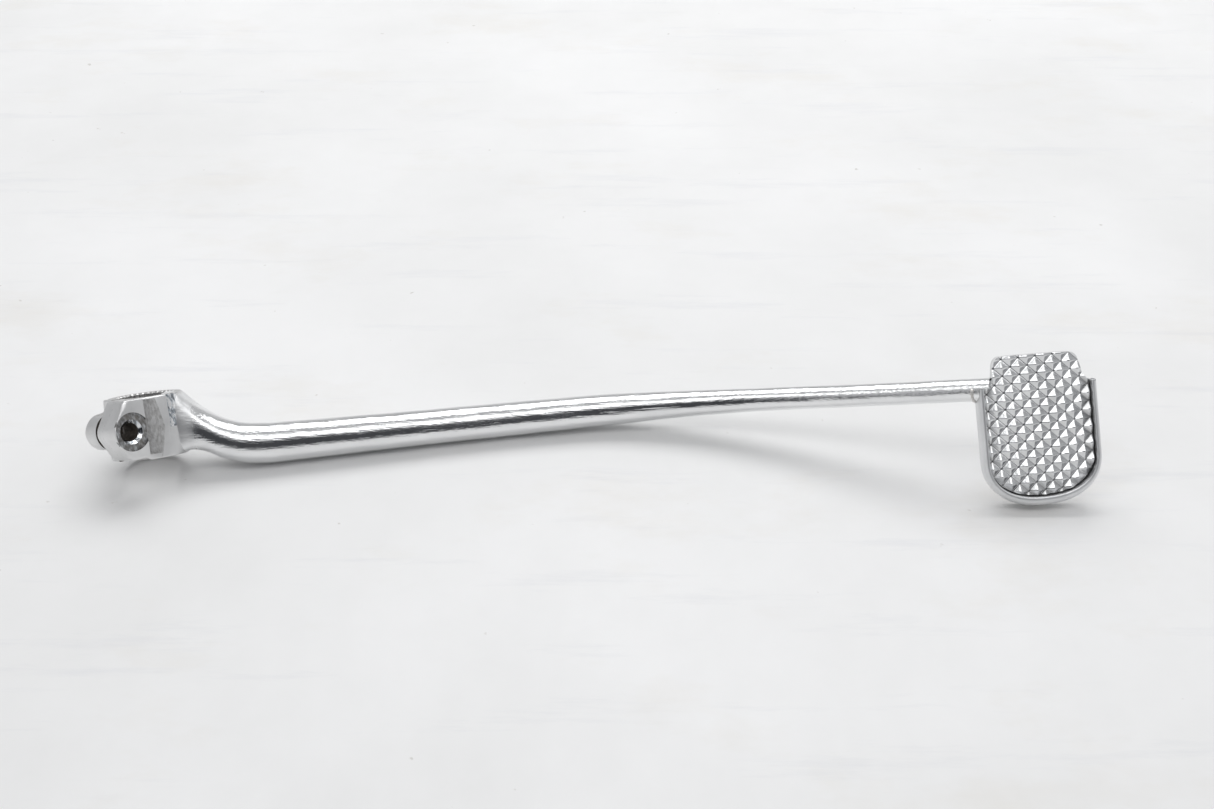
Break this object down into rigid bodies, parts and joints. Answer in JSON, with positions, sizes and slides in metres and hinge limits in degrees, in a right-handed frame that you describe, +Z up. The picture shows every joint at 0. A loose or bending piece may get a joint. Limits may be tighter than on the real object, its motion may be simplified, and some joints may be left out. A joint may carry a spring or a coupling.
{
  "type": "gear shift lever",
  "caption": "Long chromed steel foot lever: splined pinch clamp at one end, tapered cranked arm, flat serrated foot pad in a pressed cup at the other",
  "frame": {"origin": "Middle of the bounding box at its base: the plane that the lever rests on", "axes": "The lever lies on its side. +X runs from the clamp to the foot pad, +Y is across, away from the tread side, +Z is up off the plane it rests on. The shaft bore leans back 29 degrees from +Z"},
  "size_m": [0.364, 0.06, 0.0513],
  "materials": {
    "forging": "chromed steel forging, part polished, part satin",
    "bar": "polished chrome with fine streaks along the bar",
    "cup": "polished chrome over pressed steel",
    "tread": "chromed steel with soft-edged diamond serrations",
    "weld": "chromed weld bead, thinly covered and browned in its roots"
  },
  "bodies": {
    "root": {"clamp_boss": "forging", "boss_weld": "weld", "lever_arm": "bar", "pad_shell": "cup", "pad_weld": "weld", "tread_plate": "tread", "tread_plug_upper": "weld", "tread_plug_lower": "weld"}
  },
  "joints": []
}
